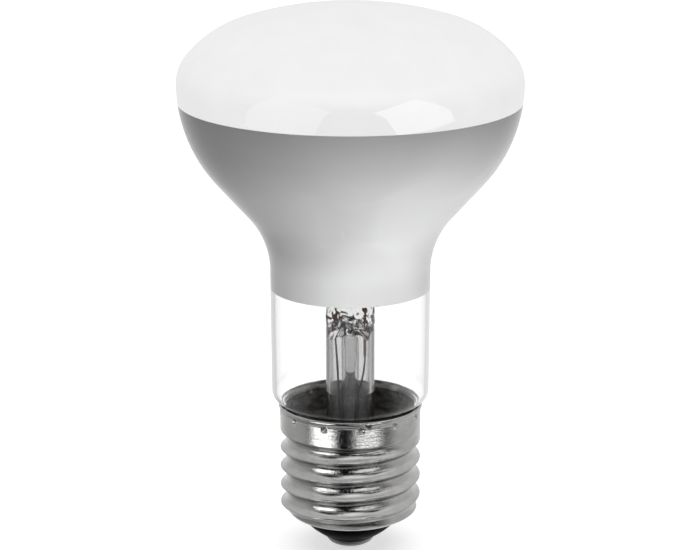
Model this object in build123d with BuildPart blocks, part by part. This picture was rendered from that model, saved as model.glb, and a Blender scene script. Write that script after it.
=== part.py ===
from build123d import *
import os
from math import asin, atan2, cos, degrees, hypot, radians, sin, sqrt

os.makedirs("parts", exist_ok=True)

# A reflector lamp: a blown bulb with two inner coats, a glass stem with its filament mount, and a screw cap.
# Millimetres and degrees. The lamp's axis is Z, and the tip of the centre contact is the origin.

# Bulb outline, a chain of tangent arcs from the crown to the neck
OVERALL_LENGTH = 102.7
BULB_DIAMETER = 63.0
SHOULDER_RADIUS = 7.1
SHOULDER_TURN = 38.8
CROWN_RADIUS = 19.6
CROWN_TURN = 33.4
FLANK_RADIUS = 26.9
FLANK_TURN = 41.7
NECK_BLEND_RADIUS = 16.1
NECK_TOP_DIAMETER = 29.7
NECK_FOOT_DIAMETER = 29.2
GLASS_WALL = 0.8

# Neck foot, where the glass rounds in to the cap and ends in the seal
FOOT_RISE = 2.8
FOOT_BEND = 2.7
FOOT_SINK = 0.9
FOOT_RETURN = 1.9
SEAL_DEPTH = 13.2
SKIRT_STEP_RISE = 0.6
SKIRT_STEP_OVERLAP = 0.2

# Coats on the inside of the glass
COAT_THICKNESS = 0.12
COAT_LINE_DROP = 3.3
MIRROR_NECK_LENGTH = 3.0

# Screw shell, rolled from thin sheet
CAP_HEIGHT = 28.2
SHEET = 0.25
THREAD_MAJOR = 26.2
THREAD_MINOR = 24.0
THREAD_PITCH = 3.629
THREAD_TURNS = 3.5
THREAD_START = 180.0
RUNOUT_TOP = 1.6
RUNOUT_BOTTOM = 0.5
LIP_DIAMETER = 26.9
LIP_HEIGHT = 1.2
LIP_STEP = 0.5
SHELL_OPENING = 17.9
BOWL_RADIUS = 3.45
BOWL_TURN = 66.0

# Ring of punch marks that grip the glass
DOT_COUNT = 12
DOT_RADIUS = 0.9
DOT_DEPTH = 0.4
DOT_DROP = 1.65
DOT_PHASE = -81.5

# Insulator, contact plate and solder
INSULATOR_RISE = 4.75
INSULATOR_WEB = 1.6
CONTACT_DIAMETER = 9.0
CONTACT_FOOT_DIAMETER = 8.1
CONTACT_THICKNESS = 0.7
EYELET_DIAMETER = 2.8
EYELET_BORE = 1.8
EYELET_HEIGHT = 2.2
SOLDER_DIAMETER = 5.0
SOLDER_FLAT = 2.0
SOLDER_DROP = 0.4
SOLDER_FILL = 0.8

# Room between the glass and the cap
NECK_GAP = 0.45
SEAL_GAP = 0.55

# Stem: flare, tube, press and exhaust tube
STEM_DIAMETER = 9.0
STEM_WALL = 0.8
PRESS_THICKNESS = 4.0
PRESS_HEIGHT = 10.4
PRESS_TAPER = 2.5
BLOW_HOLE_DIAMETER = 2.8
BLOW_HOLE_RISE = 3.4
BLOW_HOLE_SHIFT = -0.9
EXHAUST_DIAMETER = 3.2
EXHAUST_BORE = 2.0
EXHAUST_DROP = 3.0
EXHAUST_TIP = 2.4

# Filament mount
FILAMENT_DROP = 18.6
FILAMENT_RING = 16.0
FILAMENT_DIAMETER = 0.9
FILAMENT_OPENING = 120.0
FILAMENT_CLEARANCE = 0.05
LEAD_RISE = 18.0
LEAD_SPACING = 5.4
LEAD_STRAIGHT = 4.0
LEAD_TIP = 2.5
INNER_LEAD_DIAMETER = 0.7
DUMET_DIAMETER = 0.6
DUMET_STAND = 0.5
BUTTON_DROP = 6.5
BUTTON_DIAMETER = 5.5
BUTTON_HEIGHT = 2.8
ROD_DIAMETER = 3.0
SUPPORT_COUNT = 3
SUPPORT_DIAMETER = 0.3
SUPPORT_ROOT = 1.2
HOOK_CLEARANCE = 0.1
HOOK_TURN = 270.0

# Thin leads from the press to the cap. A route pairs shares of the way down the stem with angles there.
OUTER_LEAD_DIAMETER = 0.35
RIGHT_WELD_DROP = 4.6
LEFT_WELD_DROP = 0.6
LEAD_BEND = 0.7
LEAD_STUB = 0.8
CENTRE_LEAD_ROUTE = ((0.11, -28.0), (0.39, -70.0), (1.0, -78.0))
CENTRE_LEAD_TUCK = 1.1
CENTRE_LEAD_TIP_ANGLE = -82.0
SIDE_LEAD_ROUTE = ((0.13, -153.0), (0.49, -137.0), (1.0, -120.0))
SIDE_LEAD_CROSS_ANGLE = -85.0
SIDE_LEAD_ANGLE = -75.0
WELD_DIAMETER = 1.2

# Heights and radii worked out from the sizes above, from the contact upwards
plate_bottom = SOLDER_DROP
plate_top = plate_bottom + CONTACT_THICKNESS
shell_bottom = plate_top + INSULATOR_RISE
opening_radius = SHELL_OPENING / 2
bowl_middle = shell_bottom + BOWL_RADIUS
bowl_end = 90 - BOWL_TURN
thread_bottom = bowl_middle - BOWL_RADIUS * sin(radians(bowl_end)) + RUNOUT_BOTTOM
thread_length = THREAD_TURNS * THREAD_PITCH
thread_top = thread_bottom + thread_length
thread_mean_radius = (THREAD_MAJOR + THREAD_MINOR) / 4
thread_throw = (THREAD_MAJOR - THREAD_MINOR) / 4
collar_bottom = thread_top + RUNOUT_TOP
collar_radius = THREAD_MAJOR / 2
dot_height = CAP_HEIGHT - DOT_DROP
insulator_middle = shell_bottom + INSULATOR_WEB

skirt_radius = collar_radius - SHEET - NECK_GAP
seal_radius = THREAD_MINOR / 2 - SHEET - SEAL_GAP
seal_bottom = CAP_HEIGHT - SEAL_DEPTH
foot_top = CAP_HEIGHT + FOOT_RISE
foot_bottom = CAP_HEIGHT - FOOT_SINK

bulb_radius = BULB_DIAMETER / 2
dome_turn = 90 - SHOULDER_TURN - CROWN_TURN
crown_start = radians(SHOULDER_TURN)
crown_stop = radians(SHOULDER_TURN + CROWN_TURN)
crown_rim = (
    bulb_radius
    - SHOULDER_RADIUS * (1 - cos(crown_start))
    - CROWN_RADIUS * (cos(crown_start) - cos(crown_stop))
)
dome_radius = crown_rim / cos(crown_stop)
dome_rise = (
    SHOULDER_RADIUS * sin(crown_start)
    + CROWN_RADIUS * (sin(crown_stop) - sin(crown_start))
    + dome_radius * (1 - sin(crown_stop))
)
widest = OVERALL_LENGTH - dome_rise
flank_slope = radians(FLANK_TURN)
flank_arcs = FLANK_RADIUS + NECK_BLEND_RADIUS
cone_width = bulb_radius - NECK_TOP_DIAMETER / 2 - flank_arcs * (1 - cos(flank_slope))
cone_length = cone_width / sin(flank_slope)
neck_top = widest - flank_arcs * sin(flank_slope) - cone_length * cos(flank_slope)
coat_line = widest - COAT_LINE_DROP
mirror_end = neck_top - MIRROR_NECK_LENGTH

filament_height = widest - FILAMENT_DROP
filament_radius = FILAMENT_RING / 2
press_top = filament_height - LEAD_RISE
press_bottom = press_top - PRESS_HEIGHT
button_middle = filament_height - BUTTON_DROP
stem_radius = STEM_DIAMETER / 2
stem_bore_radius = stem_radius - STEM_WALL
exhaust_radius = EXHAUST_DIAMETER / 2
press_half = PRESS_THICKNESS / 2
bore_top = press_bottom + (stem_bore_radius - exhaust_radius) * PRESS_TAPER / (stem_radius - press_half)
rim_radius = seal_radius - GLASS_WALL
flare_radius = rim_radius - stem_radius
exhaust_end = seal_bottom - EXHAUST_DROP


def bulb_half(inset):
    """Half section of the bulb, moved in by inset and closed along the lamp's axis."""
    with BuildSketch() as half:
        with BuildLine():
            shoulder = JernArc((bulb_radius - inset, widest), (0, 1), SHOULDER_RADIUS - inset, SHOULDER_TURN)
            crown = JernArc(shoulder @ 1, shoulder % 1, CROWN_RADIUS - inset, CROWN_TURN)
            dome = JernArc(crown @ 1, crown % 1, dome_radius - inset, dome_turn)
            flank = JernArc((bulb_radius - inset, widest), (0, -1), FLANK_RADIUS - inset, -FLANK_TURN)
            cone = Line(flank @ 1, flank @ 1 + (flank % 1) * cone_length)
            blend = JernArc(cone @ 1, cone % 1, NECK_BLEND_RADIUS + inset, FLANK_TURN)
            neck = Line(blend @ 1, (NECK_FOOT_DIAMETER / 2 - inset, foot_top))
            foot = Bezier(
                neck @ 1,
                (NECK_FOOT_DIAMETER / 2 - inset, foot_top - FOOT_BEND),
                (skirt_radius - inset, foot_bottom + FOOT_RETURN),
                (skirt_radius - inset, foot_bottom),
            )
            skirt = Polyline(
                foot @ 1,
                (skirt_radius - inset, collar_bottom + SKIRT_STEP_OVERLAP),
                (seal_radius - inset, thread_top + SKIRT_STEP_RISE),
                (seal_radius - inset, seal_bottom),
                (0, seal_bottom),
            )
            Line(skirt @ 1, dome @ 1)
        make_face()
    return half.sketch


def coat(lower, upper):
    """Thin layer on the inside of the glass between two heights."""
    with BuildPart() as layer:
        with BuildSketch(Plane.XZ):
            add(bulb_half(GLASS_WALL))
            add(bulb_half(GLASS_WALL + COAT_THICKNESS), mode=Mode.SUBTRACT)
            with Locations((bulb_radius / 2, (lower + upper) / 2)):
                Rectangle(bulb_radius, upper - lower, mode=Mode.INTERSECT)
        revolve(axis=Axis.Z)
    return layer.part


def disc(radius, height, throw=0.0, angle=0.0):
    """Round disc at a height, its centre thrown off the axis towards angle."""
    with BuildSketch(Plane.XY.offset(height)) as face:
        with PolarLocations(throw, 1, angle, rotate=False):
            Circle(radius)
    return face.sketch


def cap_body(inset):
    """Solid of the screw shell's form, moved in by inset: bowl, thread, collar, lip and punch marks."""
    bowl_arc = BOWL_RADIUS - inset
    bowl_top_radius = opening_radius + bowl_arc * cos(radians(bowl_end))
    bowl_top = bowl_middle - bowl_arc * sin(radians(bowl_end))
    lip_bottom = CAP_HEIGHT - LIP_HEIGHT
    thread_radius = thread_mean_radius - inset
    first_disc = disc(thread_radius, thread_bottom, thread_throw, THREAD_START)
    last_disc = disc(thread_radius, thread_top, thread_throw, THREAD_START + 360 * THREAD_TURNS)
    climb = Helix(THREAD_PITCH, thread_length, thread_throw, (0, 0, thread_bottom))
    climb = climb.rotate(Axis.Z, THREAD_START)
    with BuildPart() as body:
        # Round bottom
        with BuildSketch(Plane.XZ):
            with BuildLine():
                floor = Line((0, shell_bottom + inset), (opening_radius, shell_bottom + inset))
                round_edge = JernArc(floor @ 1, (1, 0), bowl_arc, BOWL_TURN)
                Polyline(round_edge @ 1, (0, bowl_top), floor @ 0)
            make_face()
        revolve(axis=Axis.Z)
        # Thread: a disc carried up the axis while its centre goes once round for each pitch
        sweep(first_disc, path=climb, normal=(0, 0, 1))
        # Run-outs, where the thread fades into the bowl and into the collar
        loft([disc(bowl_top_radius, bowl_top), first_disc])
        loft([last_disc, disc(collar_radius - inset, collar_bottom)])
        # Collar with its flared lip
        with BuildSketch(Plane.XZ):
            with BuildLine():
                Polyline(
                    (0, collar_bottom),
                    (collar_radius - inset, collar_bottom),
                    (collar_radius - inset, lip_bottom),
                    (LIP_DIAMETER / 2 - inset, lip_bottom + LIP_STEP),
                    (LIP_DIAMETER / 2 - inset, CAP_HEIGHT),
                    (0, CAP_HEIGHT),
                    close=True,
                )
            make_face()
        revolve(axis=Axis.Z)
        # Punch marks
        with Locations((0, 0, dot_height)):
            with PolarLocations(collar_radius + DOT_RADIUS - DOT_DEPTH, DOT_COUNT, DOT_PHASE):
                Sphere(DOT_RADIUS + inset, mode=Mode.SUBTRACT)
    return body.part


def polar(radius, angle, height):
    """Point at a radius and angle round the lamp's axis."""
    return (radius * cos(radians(angle)), radius * sin(radians(angle)), height)


def bent_wire(points, diameter):
    """Round wire along straight runs with rounded corners."""
    with BuildPart() as wire:
        with BuildLine() as route:
            FilletPolyline(*points, radius=LEAD_BEND)
        with BuildSketch(Plane(origin=route.line @ 0, z_dir=route.line % 0)):
            Circle(diameter / 2)
        sweep()
    return wire.part


def lead_in_stem(across, drop, route):
    """Points of a thin lead from its weld down the room between the stem and the exhaust tube."""
    weld = press_bottom - drop
    top = weld - LEAD_STUB
    fall = top - seal_bottom - STEM_WALL
    lead_radius = (exhaust_radius + stem_bore_radius) / 2
    room = [polar(lead_radius, angle, top - share * fall) for share, angle in route]
    return [(across, 0, weld), (across, 0, top), *room]


def support_wire(angle):
    """Hook from the button to the filament, in the plane through the axis at angle."""
    side = radians(angle)
    hook_radius = FILAMENT_DIAMETER / 2 + HOOK_CLEARANCE + SUPPORT_DIAMETER / 2
    reach = hypot(filament_radius - SUPPORT_ROOT, BUTTON_DROP)
    climb = degrees(atan2(BUTTON_DROP, filament_radius - SUPPORT_ROOT) - asin(hook_radius / reach))
    with BuildPart() as wire:
        with BuildLine(Plane((0, 0, 0), (cos(side), sin(side), 0), (sin(side), -cos(side), 0))) as route:
            arm = PolarLine((SUPPORT_ROOT, button_middle), sqrt(reach**2 - hook_radius**2), climb)
            JernArc(arm @ 1, arm % 1, hook_radius, HOOK_TURN)
        with BuildSketch(Plane(origin=route.line @ 0, z_dir=route.line % 0)):
            Circle(SUPPORT_DIAMETER / 2)
        sweep()
    return wire.part


# Glass bulb, one blown piece, open at its seal
with BuildPart() as glass_bulb:
    with BuildSketch(Plane.XZ):
        add(bulb_half(0))
        add(bulb_half(GLASS_WALL), mode=Mode.SUBTRACT)
    revolve(axis=Axis.Z)

# White coat in the dome and metal film on the flank and the top of the neck
frost_coat = coat(coat_line, OVERALL_LENGTH)
mirror_coat = coat(mirror_end, coat_line)

# Stem: a flared tube fused to the neck, pressed flat at its top round the two sealed wires
with BuildPart() as stem:
    with BuildSketch(Plane.XZ):
        with BuildLine():
            rim = Line((rim_radius, seal_bottom), (rim_radius, seal_bottom + STEM_WALL))
            upper_flare = JernArc(rim @ 1, (-1, 0), flare_radius, -90)
            lower_flare = JernArc(rim @ 0, (-1, 0), flare_radius + STEM_WALL, -90)
            Polyline(
                upper_flare @ 1,
                (stem_radius, press_top),
                (0, press_top),
                (0, bore_top),
                (exhaust_radius, bore_top),
                (stem_bore_radius, press_bottom),
                lower_flare @ 1,
            )
        make_face()
    revolve(axis=Axis.Z)
    with BuildSketch(Plane.YZ):
        with BuildLine():
            Polyline(
                (stem_radius, press_bottom),
                (press_half, press_bottom + PRESS_TAPER),
                (press_half, press_top),
                (STEM_DIAMETER, press_top),
                (STEM_DIAMETER, press_bottom),
                close=True,
            )
        make_face()
        mirror(about=Plane.YZ)
    extrude(amount=STEM_DIAMETER, both=True, mode=Mode.SUBTRACT)
    with BuildSketch(Plane.XZ):
        with Locations((BLOW_HOLE_SHIFT, press_bottom + BLOW_HOLE_RISE)):
            Circle(BLOW_HOLE_DIAMETER / 2)
    extrude(amount=STEM_DIAMETER, mode=Mode.SUBTRACT)
    with BuildSketch(Plane.XY.offset(bore_top)):
        Circle(EXHAUST_BORE / 2)
    extrude(amount=press_bottom + BLOW_HOLE_RISE - bore_top, mode=Mode.SUBTRACT)
    with BuildSketch(Plane.XY.offset(press_bottom)):
        with GridLocations(LEAD_SPACING, 0, 2, 1):
            Circle(DUMET_DIAMETER / 2)
    extrude(amount=PRESS_HEIGHT, mode=Mode.SUBTRACT)

# Exhaust tube, fused under the press and melted shut at its lower end
with BuildPart() as exhaust_tube:
    with BuildSketch(Plane.XZ):
        with BuildLine():
            tip = Bezier(
                (0, exhaust_end),
                (exhaust_radius / 2, exhaust_end),
                (exhaust_radius, exhaust_end + EXHAUST_TIP / 2),
                (exhaust_radius, exhaust_end + EXHAUST_TIP),
            )
            Polyline(
                tip @ 1,
                (exhaust_radius, bore_top),
                (EXHAUST_BORE / 2, bore_top),
                (EXHAUST_BORE / 2, exhaust_end + EXHAUST_TIP),
                (0, exhaust_end + EXHAUST_TIP / 2),
                tip @ 0,
            )
        make_face()
    revolve(axis=Axis.Z)

# Sealed wires through the press
dumets = {}
for side, across, drop in (("left", -1, LEFT_WELD_DROP), ("right", 1, RIGHT_WELD_DROP)):
    with BuildPart() as dumets[side]:
        with BuildSketch(Plane.XY.offset(press_bottom - drop)):
            with Locations((across * LEAD_SPACING / 2, 0)):
                Circle(DUMET_DIAMETER / 2)
        extrude(amount=drop + PRESS_HEIGHT + DUMET_STAND)

# Filament, an open ring of fine coil, seen here as the coil's outer form
filament_start = 90 + FILAMENT_OPENING / 2
filament_arc = 360 - FILAMENT_OPENING
filament_trim = degrees((INNER_LEAD_DIAMETER / 2 + FILAMENT_CLEARANCE) / filament_radius)
with BuildPart() as filament:
    with BuildLine(Plane.XY.offset(filament_height)) as ring:
        CenterArc((0, 0), filament_radius, filament_start + filament_trim, filament_arc - 2 * filament_trim)
    with BuildSketch(Plane(origin=ring.line @ 0, z_dir=ring.line % 0)):
        Circle(FILAMENT_DIAMETER / 2)
    sweep()

# Nickel leads from the sealed wires to the filament's ends
lead_start = press_top + DUMET_STAND
inner_leads = {}
for side, across, end_angle in (("left", -1, filament_start), ("right", 1, filament_start + filament_arc)):
    inner_leads[side] = bent_wire(
        [
            (across * LEAD_SPACING / 2, 0, lead_start),
            (across * LEAD_SPACING / 2, 0, lead_start + LEAD_STRAIGHT),
            polar(filament_radius, end_angle, filament_height - LEAD_TIP),
            polar(filament_radius, end_angle, filament_height + FILAMENT_DIAMETER),
        ],
        INNER_LEAD_DIAMETER,
    )

# Hooked supports, spread evenly under the filament
support_step = filament_arc / (SUPPORT_COUNT + 1)
supports = [support_wire(filament_start + support_step * (number + 1)) for number in range(SUPPORT_COUNT)]

# Glass rod with the button that holds the supports
with BuildPart() as mount_button:
    with BuildSketch(Plane.XZ):
        with BuildLine():
            swell = ThreePointArc(
                (ROD_DIAMETER / 2, button_middle - BUTTON_HEIGHT / 2),
                (BUTTON_DIAMETER / 2, button_middle),
                (ROD_DIAMETER / 2, button_middle + BUTTON_HEIGHT / 2),
            )
            Polyline(swell @ 1, (0, button_middle + BUTTON_HEIGHT / 2), (0, press_top))
            Polyline((0, press_top), (ROD_DIAMETER / 2, press_top), swell @ 0)
        make_face()
    revolve(axis=Axis.Z)
    for support in supports:
        add(support, mode=Mode.SUBTRACT)

# Screw shell: thin sheet, the same form inside as outside
with BuildPart() as cap_shell:
    add(cap_body(0))
    add(cap_body(SHEET), mode=Mode.SUBTRACT)
    with BuildSketch(Plane.XY.offset(shell_bottom)):
        Circle(opening_radius)
    extrude(amount=SHEET, mode=Mode.SUBTRACT)

# Black glass insulator, cast into the bottom of the shell
with BuildPart() as cap_insulator:
    with BuildSketch(Plane.XZ):
        with BuildLine():
            cone_side = Polyline(
                (EYELET_DIAMETER / 2, plate_top),
                (CONTACT_DIAMETER / 2, plate_top),
                (opening_radius, shell_bottom),
                (opening_radius, shell_bottom + SHEET),
            )
            bed = JernArc(cone_side @ 1, (1, 0), BOWL_RADIUS - SHEET, BOWL_TURN)
            Polyline(
                bed @ 1,
                (CONTACT_DIAMETER / 2, insulator_middle),
                (EYELET_DIAMETER / 2, insulator_middle),
                cone_side @ 0,
            )
        make_face()
    revolve(axis=Axis.Z)

# Contact plate with its eyelet
with BuildPart() as centre_contact:
    with BuildSketch(Plane.XZ):
        with BuildLine():
            Polyline(
                (EYELET_BORE / 2, plate_bottom),
                (CONTACT_FOOT_DIAMETER / 2, plate_bottom),
                (CONTACT_DIAMETER / 2, plate_top),
                (EYELET_DIAMETER / 2, plate_top),
                (EYELET_DIAMETER / 2, plate_top + EYELET_HEIGHT),
                (EYELET_BORE / 2, plate_top + EYELET_HEIGHT),
                close=True,
            )
        make_face()
    revolve(axis=Axis.Z)

# Solder in the eyelet, with a small dome under the plate
with BuildPart() as contact_solder:
    with BuildSketch(Plane.XZ):
        with BuildLine():
            flat = Line((0, 0), (SOLDER_FLAT / 2, 0))
            dome = Bezier(
                flat @ 1,
                ((SOLDER_FLAT + SOLDER_DIAMETER) / 4, 0),
                (SOLDER_DIAMETER / 2, plate_bottom / 2),
                (SOLDER_DIAMETER / 2, plate_bottom),
            )
            Polyline(
                dome @ 1,
                (EYELET_BORE / 2, plate_bottom),
                (EYELET_BORE / 2, plate_top + SOLDER_FILL),
                (0, plate_top + SOLDER_FILL),
                flat @ 0,
            )
        make_face()
    revolve(axis=Axis.Z)

# Thin leads: down inside the stem, one to the eyelet and one up between glass and shell to the lip
thread_gap_radius = (seal_radius + THREAD_MINOR / 2 - SHEET) / 2
collar_gap_radius = (skirt_radius + collar_radius - SHEET) / 2
lip_gap_radius = collar_gap_radius + (LIP_DIAMETER / 2 - collar_radius)
centre_lead = bent_wire(
    [
        *lead_in_stem(LEAD_SPACING / 2, RIGHT_WELD_DROP, CENTRE_LEAD_ROUTE),
        polar(exhaust_radius, CENTRE_LEAD_TIP_ANGLE, exhaust_end - CENTRE_LEAD_TUCK),
        (0, 0, (exhaust_end + insulator_middle) / 2 - EYELET_BORE / 2),
        (0, 0, plate_top + SOLDER_FILL),
    ],
    OUTER_LEAD_DIAMETER,
)
side_lead = bent_wire(
    [
        *lead_in_stem(-LEAD_SPACING / 2, LEFT_WELD_DROP, SIDE_LEAD_ROUTE),
        polar(seal_radius / 2, SIDE_LEAD_CROSS_ANGLE, seal_bottom - EXHAUST_DROP),
        polar(thread_gap_radius, SIDE_LEAD_ANGLE, seal_bottom - EXHAUST_DROP),
        polar(thread_gap_radius, SIDE_LEAD_ANGLE, thread_top - SKIRT_STEP_RISE / 2),
        polar(collar_gap_radius, SIDE_LEAD_ANGLE, collar_bottom),
        polar(collar_gap_radius, SIDE_LEAD_ANGLE, CAP_HEIGHT - LIP_HEIGHT),
        polar(lip_gap_radius, SIDE_LEAD_ANGLE, CAP_HEIGHT),
    ],
    OUTER_LEAD_DIAMETER,
)

# Weld bead that joins the side lead to the lip
with BuildPart() as side_weld:
    with Locations(polar(LIP_DIAMETER / 2 - SHEET, SIDE_LEAD_ANGLE, CAP_HEIGHT)):
        Sphere(WELD_DIAMETER / 2)
    add(cap_shell.part, mode=Mode.SUBTRACT)
    add(side_lead, mode=Mode.SUBTRACT)
    add(glass_bulb.part, mode=Mode.SUBTRACT)

pieces = {
    "glass_bulb": glass_bulb.part,
    "frost_coat": frost_coat,
    "mirror_coat": mirror_coat,
    "stem": stem.part,
    "exhaust_tube": exhaust_tube.part,
    "dumet_left": dumets["left"].part,
    "dumet_right": dumets["right"].part,
    "filament": filament.part,
    "inner_lead_left": inner_leads["left"],
    "inner_lead_right": inner_leads["right"],
    "mount_button": mount_button.part,
    "cap_shell": cap_shell.part,
    "cap_insulator": cap_insulator.part,
    "centre_contact": centre_contact.part,
    "contact_solder": contact_solder.part,
    "centre_lead": centre_lead,
    "side_lead": side_lead,
    "side_weld": side_weld.part,
}
for number, support in enumerate(supports, start=1):
    pieces[f"support_wire_{number}"] = support
for name, piece in pieces.items():
    piece.label = name
    export_step(piece, f"parts/{name}.step")
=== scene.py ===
from math import atan2, cos, floor, hypot, pi, radians, sin

import bpy
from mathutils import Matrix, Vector, noise


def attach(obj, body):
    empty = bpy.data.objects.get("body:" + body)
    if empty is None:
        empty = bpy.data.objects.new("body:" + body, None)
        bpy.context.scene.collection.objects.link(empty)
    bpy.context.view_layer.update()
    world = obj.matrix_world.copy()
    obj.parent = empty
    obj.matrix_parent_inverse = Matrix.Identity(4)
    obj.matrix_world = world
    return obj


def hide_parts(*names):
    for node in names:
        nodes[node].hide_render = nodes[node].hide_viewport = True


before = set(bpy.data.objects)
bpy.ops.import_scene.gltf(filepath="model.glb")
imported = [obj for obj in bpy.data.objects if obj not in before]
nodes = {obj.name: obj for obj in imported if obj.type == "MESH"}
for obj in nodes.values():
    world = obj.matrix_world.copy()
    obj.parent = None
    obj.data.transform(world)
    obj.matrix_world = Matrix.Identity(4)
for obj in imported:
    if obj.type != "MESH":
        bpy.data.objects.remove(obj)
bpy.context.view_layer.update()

# Glass bulb. One blown piece of clear soda glass: dome, flank and neck are a chain of smooth arcs, and
# below the neck the glass rounds in, goes down inside the cap and is fused to the rim of the stem.
# Lengths are in mm and angles in degrees; an arc is given by its radius and its turn.
LATHE_STEPS = 192
BULB_RADIUS = 31.5
WIDEST_HEIGHT = 88.636
SHOULDER_ARC = (7.1, 38.8)
CROWN_ARC = (19.6, 33.4)
DOME_ARC = (67.55, 17.8)
FLANK_ARC = (26.9, 41.7)
CONE_LENGTH = 8.77
NECK_BLEND_ARC = (16.1, 41.7)
NECK_RADIUS = 14.6
FOOT_TOP = 31.0
FOOT_BENDS = (28.3, 29.2)
SKIRT_RADIUS = 12.4
SKIRT_TOP = 27.3
SKIRT_CONE = (26.7, 23.6)
SEAL_RADIUS = 11.2
SEAL_HEIGHT = 15.0
GLASS_WALL = 0.8
MERGE_DISTANCE = 1e-4
SMOOTH_ANGLE = 40
GLASS_TINT = (0.998, 1.0, 0.999, 1)


def arc(start, heading, radius, turn, steps):
    """Points (radius, height) of an arc that leaves start at a heading, and the heading at its end."""
    side = 1 if turn > 0 else -1
    middle_radius = start[0] - side * radius * sin(radians(heading))
    middle_height = start[1] + side * radius * cos(radians(heading))
    points = []
    for step in range(1, steps + 1):
        ahead = radians(heading + turn * step / steps)
        out = middle_radius + side * radius * sin(ahead)
        points.append((out, middle_height - side * radius * cos(ahead)))
    return points, heading + turn


def bulb_dome(inset):
    """Profile from the widest place of the bulb up to its crown, moved in by inset."""
    points = [(BULB_RADIUS - inset, WIDEST_HEIGHT)]
    heading = 90
    for (radius, turn), steps in ((SHOULDER_ARC, 14), (CROWN_ARC, 20), (DOME_ARC, 16)):
        run, heading = arc(points[-1], heading, radius - inset, turn, steps)
        points += run
    points[-1] = (0, points[-1][1])
    return points


def bulb_flank(inset):
    """Profile from the widest place of the bulb down to the top of its neck, moved in by inset."""
    points = [(BULB_RADIUS - inset, WIDEST_HEIGHT)]
    radius, turn = FLANK_ARC
    run, heading = arc(points[0], -90, radius - inset, -turn, 24)
    points += run
    cone_radius, cone_height = run[-1]
    for step in range(1, 5):
        along = CONE_LENGTH * step / 4
        out = cone_radius + along * cos(radians(heading))
        points.append((out, cone_height + along * sin(radians(heading))))
    radius, turn = NECK_BLEND_ARC
    run, heading = arc(points[-1], heading, radius + inset, turn, 18)
    return points + run


def bulb_neck(inset):
    """Profile of the neck's rounded foot and of the skirt inside the cap, moved in by inset."""
    foot = []
    for step in range(15):
        t = step / 14
        inward = 3 * t * t * (1 - t) + t**3
        height = (1 - t) ** 3 * FOOT_TOP + 3 * t * (1 - t) ** 2 * FOOT_BENDS[0]
        height += 3 * t * t * (1 - t) * FOOT_BENDS[1]
        height += t**3 * SKIRT_TOP
        foot.append((NECK_RADIUS + (SKIRT_RADIUS - NECK_RADIUS) * inward - inset, height))
    skirt = [(SKIRT_RADIUS, SKIRT_CONE[0]), (SEAL_RADIUS, SKIRT_CONE[1]), (SEAL_RADIUS, SEAL_HEIGHT)]
    return foot + [(radius - inset, height) for radius, height in skirt]


def bulb_line(inset):
    """The bulb's whole profile from its crown down to the seal, moved in by inset."""
    return bulb_dome(inset)[::-1] + bulb_flank(inset)[1:] + bulb_neck(inset)


def drawn_line(name, points):
    """Draws a line through points vertex by vertex, and leaves it in edit mode."""
    bpy.ops.object.select_all(action="DESELECT")
    bpy.ops.mesh.primitive_plane_add(size=0.001)
    line = bpy.context.object
    line.name = name
    bpy.ops.object.mode_set(mode="EDIT")
    bpy.ops.mesh.select_mode(type="VERT")
    bpy.ops.mesh.select_all(action="SELECT")
    bpy.ops.mesh.merge(type="CENTER")
    bpy.ops.transform.translate(value=[length / 1000 for length in points[0]])
    for here, ahead in zip(points, points[1:]):
        step = [(b - a) / 1000 for a, b in zip(here, ahead)]
        bpy.ops.mesh.extrude_region_move(TRANSFORM_OT_translate={"value": step})
    bpy.ops.mesh.select_all(action="SELECT")
    bpy.ops.mesh.remove_doubles(threshold=MERGE_DISTANCE / 1000)
    return line


def spun(name, profile, steps=LATHE_STEPS, closed=True):
    """Spins a profile (radius, height) round the lamp's axis."""
    line = profile + profile[:1] if closed else profile
    piece = drawn_line(name, [(radius, 0, height) for radius, height in line])
    bpy.ops.mesh.spin(steps=steps, angle=2 * pi, center=(0, 0, 0), axis=(0, 0, 1))
    bpy.ops.mesh.select_all(action="SELECT")
    bpy.ops.mesh.remove_doubles(threshold=MERGE_DISTANCE / 1000)
    bpy.ops.mesh.normals_make_consistent(inside=False)
    bpy.ops.object.mode_set(mode="OBJECT")
    bpy.ops.object.shade_smooth_by_angle(angle=radians(SMOOTH_ANGLE))
    return piece


def new_finish(name):
    """A new material, its node tree and its Principled shader."""
    material = bpy.data.materials.new(name)
    material.use_nodes = True
    shader = material.node_tree.nodes["Principled BSDF"]
    return material, material.node_tree, shader


def add_noise(tree, scale, detail=4.0, stretch=(1, 1, 1)):
    """Noise on Object coordinates, stretched along the axes; scale counts per metre."""
    where = tree.nodes.new("ShaderNodeTexCoord")
    mapping = tree.nodes.new("ShaderNodeMapping")
    mapping.inputs["Scale"].default_value = stretch
    cloud = tree.nodes.new("ShaderNodeTexNoise")
    cloud.inputs["Scale"].default_value = scale
    cloud.inputs["Detail"].default_value = detail
    tree.links.new(where.outputs["Object"], mapping.inputs["Vector"])
    tree.links.new(mapping.outputs["Vector"], cloud.inputs["Vector"])
    return cloud.outputs["Fac"]


def add_bump(tree, source, shader, depth, strength=1.0):
    """Bump of a depth on the shader's normal."""
    bump = tree.nodes.new("ShaderNodeBump")
    bump.inputs["Strength"].default_value = strength
    bump.inputs["Distance"].default_value = depth / 1000
    tree.links.new(source, bump.inputs["Height"])
    tree.links.new(bump.outputs["Normal"], shader.inputs["Normal"])


def glass_finish(name, clearness, index, waves, drawn_out, depth):
    """Smooth glass with faint waves, drawn out along its height."""
    material, tree, shader = new_finish(name)
    shader.inputs["Transmission Weight"].default_value = clearness
    shader.inputs["Roughness"].default_value = 0.0
    shader.inputs["IOR"].default_value = index
    add_bump(tree, add_noise(tree, waves, detail=2.0, stretch=(1, 1, drawn_out)), shader, depth)
    return material, tree, shader


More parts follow.
